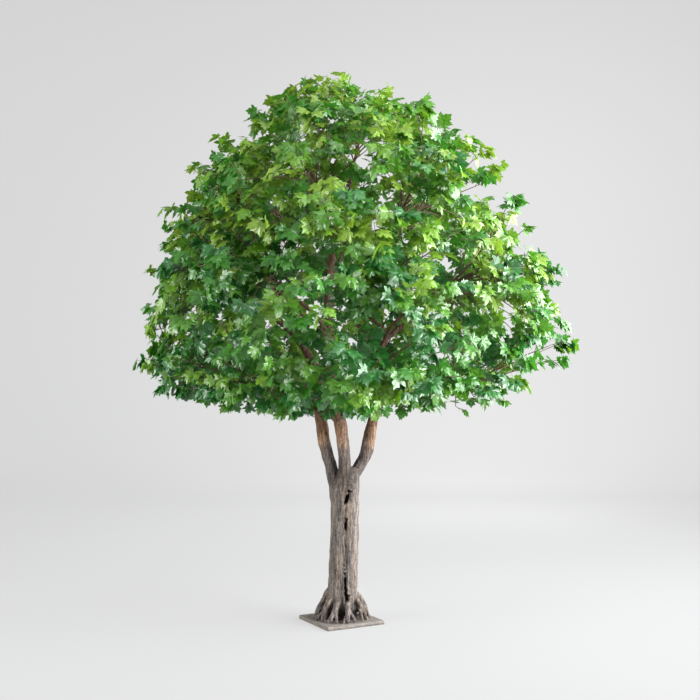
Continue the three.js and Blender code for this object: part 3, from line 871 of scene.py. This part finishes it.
LEAF_SHAPES = [
    leaf_template(0.18, 0.34, 0.06),
    leaf_template(0.06, 0.48, 0.07),
    leaf_template(0.32, 0.22, 0.05),
    leaf_template(-0.10, 0.38, 0.08),
]
LEAF_TIPS = np.array([(1, 0), (0.47, 0.74), (0.47, -0.74), (-0.10, 0.53), (-0.10, -0.53)])


def leaf_aim(way, outward, swing, random):
    """The way a leaf points: on along its shoot, aside, outwards and down."""
    across = unit(np.cross(way, UP))
    droop = mix(*LEAF_AIM["droop"], random())
    on = way * mix(*LEAF_AIM["along"], random())
    return unit(on + across * swing + outward * LEAF_AIM["outward"] - UP * droop)


def leaf_facing(outward, random):
    """The way its upper face looks: outwards, with some scatter."""
    scatter = np.array([random() - 0.5, random() - 0.5, random() - 0.5])
    return (
        outward * LEAF_FACING["outward"] + UP * LEAF_FACING["up"] + scatter * LEAF_FACING["scatter"]
    )


STALK_TURNS = (0, 2.1, 4.2)
STALK_FACES = np.array(
    [(0, 2, 1), (3, 4, 5), (0, 1, 4), (0, 4, 3), (1, 2, 5), (1, 5, 4), (2, 0, 3), (2, 3, 5)]
)


def stalk_prism(start, end, radius):
    """A leaf's stalk: a thin closed prism of three sides."""
    along = unit(end - start)
    side = unit(np.cross(along, UP))
    third = np.cross(along, side)
    corners = [math.cos(turn) * side + math.sin(turn) * third for turn in STALK_TURNS]
    points = np.array([start + radius * c for c in corners] + [end + radius * c for c in corners])
    return points, STALK_FACES


def frame_of(aim, facing):
    """Axes of a leaf: along its length, across it, and up from its face."""
    side = unit(np.cross(facing, aim))
    return np.stack([aim, side, np.cross(aim, side)])


class Foliage:
    """All that grows from the boughs' tips: twigs, leaf stalks, and leaves by tone."""

    def __init__(self, masses):
        self.masses = masses
        self.twigs, self.stalks = Heap(), Heap()
        self.leaves = [Heap() for _ in LEAF_TONES]
        self.heart = crown_point(0, 0, CROWN["widest"] - HEART_DROP)

    def outward(self, point):
        return unit(point - self.heart)

    def next_goal(self, mass, taken, random):
        """The place for the next twig to reach, chosen as in the part's source."""
        best = None
        reach = TWIG["range"]
        for _ in range(TWIG["choices"]):
            spot = mass["centre"] + np.array([mix(-1, 1, random()) * reach for _ in range(3)])
            if not in_space(spot, mass, self.masses):
                continue
            room = min([reach, *(np.linalg.norm(other - spot) for other in taken)])
            score = crown_share(spot) + TWIG["spread"] * room / reach + TWIG["chance"] * random()
            if best is None or score > best[0]:
                best = (score, spot)
        return best[1]

    def leaf(self, base, way, turn, tone, random):
        """One leaf on its stalk, to one side of its shoot, where one fits in the crown."""
        outward = self.outward(base)
        shape, faces = LEAF_SHAPES[int(random() * len(LEAF_SHAPES))]
        least, most = LEAF_AIM["swing"] if turn else (-LEAF_AIM["end_swing"], LEAF_AIM["end_swing"])
        for _ in range(LEAF["tries"]):
            swing = (turn or 1) * mix(least, most, random())
            aim = leaf_aim(way, outward, swing, random)
            stalk_way = unit(aim + outward * STALK_AIM["outward"] + UP * STALK_AIM["up"])
            stalk = mix(*LEAF["stalk"], random())
            foot = base + stalk_way * stalk
            length = mix(*LEAF["length"], random())
            axes = frame_of(aim, leaf_facing(outward, random))
            limit = crown_limit(foot)
            if any(crown_share(foot + length * tip) > limit for tip in LEAF_TIPS @ axes[:2]):
                continue
            self.leaves[tone].add(foot + length * (shape @ axes), faces)
            self.stalks.add(*stalk_prism(base, foot, LEAF["stalk_radius"]))
            return

    def shoot(self, base, way, length, random):
        """A short shoot with pairs of leaves and one at its end, all of one tone."""
        tone = pick_tone(random(), base[2])
        for _ in range(SHOOT["tries"]):
            end = base + way * length
            if crown_share(end) > SHOOT["end"] * crown_limit(end):
                length *= SHOOT["shrink"]
        on, up = SHOOT["arch"]
        steps, sides = FINE["shoot"]
        path = bezier([base, base + way * length * on + UP * length * up, base + way * length], steps)
        self.twigs.add(*limb(path, taper(*SHOOT["radius"]), sides))
        for share in LEAF_PLACES:
            for turn in (-1, 1):
                self.leaf(point_along(path, share), way, turn, tone, random)
        self.leaf(path[-1], way, 0, tone, random)

    def grow(self, mass, index):
        """A mass: stem, twigs to places through its space, shoots along them, leaves on those."""
        random = seeded(SEED + SEED_STEP * (index + 1))
        reach = np.linalg.norm(mass["centre"] - mass["foot"]) * STEM["reach"] + STEM["extra"]
        steps, sides = FINE["stem"]
        stem = smooth_line([
            mass["foot"] - mass["lean"] * STEM["back"],
            mass["foot"] + mass["lean"] * reach * 0.5 + UP * STEM["lift"],
            mass["foot"] + mass["lean"] * reach,
        ], steps)
        self.twigs.add(*limb(stem, taper(SIDE_TIP, TWIG["radius"][0]), sides))
        steps, sides = FINE["twig"]
        taken = []
        for t in range(TWIG["count"]):
            goal = self.next_goal(mass, taken, random)
            taken.append(goal)
            outward = self.outward(goal)
            end = mix(self.heart, goal, min(1, TWIG["end"] / crown_share(goal)))
            start = point_along(stem, mix(TWIG["start"], 1, t / (TWIG["count"] - 1)))
            rising = start + mass["lean"] * TWIG["rise"] * np.linalg.norm(end - start)
            path = bezier([start, rising, end], steps)
            self.twigs.add(*limb(path, taper(*TWIG["radius"]), sides))
            for k, share in enumerate(SHOOT["places"]):
                base = point_along(path, share)
                if random() < openness(base):
                    continue
                behind = point_along(path, share - NEAR_SHARE)
                along = unit(point_along(path, min(share + NEAR_SHARE, 1)) - behind)
                spin = SHOOT["spin"][0] * k + SHOOT["spin"][1] * random()
                side = unit(np.cross(along, UP))
                around = side * math.cos(spin) + np.cross(side, along) * math.sin(spin)
                on, out, up = SHOOT["lean"]
                way = unit(along * on + around + outward * out + UP * up)
                self.shoot(base, way, mix(*SHOOT["length"], random()), random)
            self.shoot(path[-1], unit(end_direction(path) + outward), SHOOT["length"][0], random)


def pick_tone(draw, z):
    """The number of a leaf tone, by the shares of the tones and the height of the spray."""
    draw = min(max(draw + (z - TONE_RISE["level"]) / TONE_RISE["height"], 0), 1)
    for i, (_, _, share) in enumerate(LEAF_TONES):
        draw -= share
        if draw < 0:
            return i
    return len(LEAF_TONES) - 1


# ---------- the tree ----------

foliage_nodes = [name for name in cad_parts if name.startswith("foliage_")]
side_nodes = [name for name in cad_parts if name.startswith("bough_")]

show("plate_coated", plate_mesh(), plate_material(), ["base_plate"])

masses = make_masses()
main_boughs = make_main_boughs(masses)
taken_up = set(CARRIED.values())
side_boughs = [side_bough(mass, main_boughs) for mass in masses if mass["name"] not in taken_up]

bark = bark_material("bark")
show(
    "bark_of_trunk_and_main_boughs", wood_mesh(main_boughs), bark,
    ["trunk", *(bough["name"] for bough in main_boughs)],
)
side_heap = Heap()
for i, bough in enumerate(side_boughs):
    side_heap.add(*limb(bough["path"], knobbly(bough["radius"], i), FINE["side"][1]))
show("bark_of_side_boughs", side_heap.mesh("side_boughs"), bark, side_nodes)

foliage = Foliage(masses)
for i, mass in enumerate(masses):
    foliage.grow(mass, i)
show("twigs", foliage.twigs.mesh("twigs"), twig_material(), foliage_nodes)
show("leaf_stalks", foliage.stalks.mesh("stalks"), petiole_material(), foliage_nodes)
for (tone, colour, _), heap in zip(LEAF_TONES, foliage.leaves):
    material = leaf_material(f"leaf_{tone}", colour)
    show(f"leaves_{tone}", heap.mesh(f"leaves_{tone}"), material, foliage_nodes, smooth=False)

# ---------- studio ----------

WHITE, COOL, BLUISH = (1.0, 1.0, 1.0), (0.96, 0.98, 1.0), (0.86, 0.94, 1.0)
WORLD_LIGHT = 0.5
# Each lamp: where it is and what it aims at, in metres to the right, away and up; its width and power.
LIGHTS = dict(
    key=dict(spot=(5.3, -1.7, 2.7), aim=(0.4, 0, 2.0), size=6.4, power=580, colour=COOL, spread=100),
    side=dict(spot=(3.6, -2.6, 2.0), aim=(1.0, 0, 2.0), size=3.0, power=75, spread=120),
    rim=dict(spot=(4.6, 1.8, 2.7), aim=(0.8, 0, 2.0), size=5.4, power=230, spread=110),
    fill=dict(spot=(-5.2, -2.2, 2.4), aim=(0, 0, 2.0), size=4.2, power=190, spread=110),
    top=dict(spot=(1.0, -1.6, 5.8), aim=(0.2, 0, 2.2), size=3.6, power=34, colour=BLUISH, spread=100),
    wall=dict(spot=(1.4, 6.5, 4.0), aim=(1.4, 12.0, 2.5), size=3.0, power=440),
    floor=dict(spot=(1.4, 4.3, 2.6), aim=(1.4, 7.1, 0.0), size=2.4, power=150),
)
CAMERA = dict(distance=6.543, aside=0.0472, height=1.504, lens=60.7, sensor=36, far=60)
RIGHT = Vector((math.cos(TREE_TURN), math.sin(TREE_TURN), 0))
AWAY = Vector((-math.sin(TREE_TURN), math.cos(TREE_TURN), 0))


def at_view(right, away, height):
    """A point given as the camera sees it: to its right, away from it, and up."""
    return RIGHT * right + AWAY * away + Vector((0, 0, height))


def make_camera():
    """A level camera at the tree's front."""
    data = bpy.data.cameras.new("camera")
    data.lens = CAMERA["lens"]
    data.sensor_width = CAMERA["sensor"]
    data.clip_end = CAMERA["far"]
    camera = bpy.data.objects.new("camera", data)
    camera.matrix_world = Matrix((RIGHT, (0, 0, 1), -AWAY)).transposed().to_4x4()
    camera.location = at_view(CAMERA["aside"], -CAMERA["distance"], CAMERA["height"])
    bpy.context.scene.collection.objects.link(camera)
    bpy.context.scene.camera = camera


def make_light(name, spot, aim, size, power, colour=WHITE, spread=180):
    """A round lamp at a spot, aimed at another. Both are given as the camera sees them."""
    spot, aim = at_view(*spot), at_view(*aim)
    data = bpy.data.lights.new(name, "AREA")
    data.shape = "DISK"
    data.size = size
    data.spread = math.radians(spread)
    data.energy = power
    data.color = colour
    light = bpy.data.objects.new(name, data)
    light.location = spot
    light.rotation_euler = (aim - spot).to_track_quat("-Z", "Y").to_euler()
    light.visible_camera = False
    bpy.context.scene.collection.objects.link(light)


def make_backdrop(flat=8.0, bend=4.0, height=9.0, sides=96, steps=16):
    """A round studio: a flat floor that bends up into a wall all round."""
    profile = [(0.0, 0.0), (flat / 2, 0.0), (flat, 0.0)]
    for i in range(1, steps + 1):
        turn = i / steps * math.pi / 2
        profile.append((flat + bend * math.sin(turn), bend * (1 - math.cos(turn))))
    profile.append((flat + bend, height))
    turns = [2 * math.pi * k / sides for k in range(sides)]
    points = [(r * math.cos(t), r * math.sin(t), z) for r, z in profile[1:] for t in turns]
    points.append((0, 0, 0))
    rings = len(profile) - 1
    faces = [(len(points) - 1, k, (k + 1) % sides) for k in range(sides)]
    for i in range(rings - 1):
        for k in range(sides):
            a, b = i * sides + k, i * sides + (k + 1) % sides
            faces.append((a, a + sides, b + sides, b))
    mesh = bpy.data.meshes.new("backdrop")
    mesh.from_pydata(points, [], faces)
    mesh.polygons.foreach_set("use_smooth", [True] * len(mesh.polygons))
    material, nodes, links, shader = new_material("studio_grey")
    shader.inputs["Base Color"].default_value = STUDIO_GREY
    shader.inputs["Emission Color"].default_value = (1, 1, 1, 1)
    shader.inputs["Emission Strength"].default_value = STUDIO_GLOW
    shader.inputs["Roughness"].default_value = 0.9
    shader.inputs["Specular IOR Level"].default_value = 0.1
    mesh.materials.append(material)
    backdrop = bpy.data.objects.new("backdrop", mesh)
    bpy.context.scene.collection.objects.link(backdrop)


def make_world(colour, strength):
    """Even light from all round."""
    world = bpy.data.worlds.new("studio")
    world.use_nodes = True
    background = world.node_tree.nodes["Background"]
    background.inputs["Color"].default_value = (*colour, 1)
    background.inputs["Strength"].default_value = strength
    bpy.context.scene.world = world


make_camera()
make_backdrop()
make_world(COOL, WORLD_LIGHT)
for name, light in LIGHTS.items():
    make_light(name, **light)
bpy.context.scene.view_settings.view_transform = "Standard"
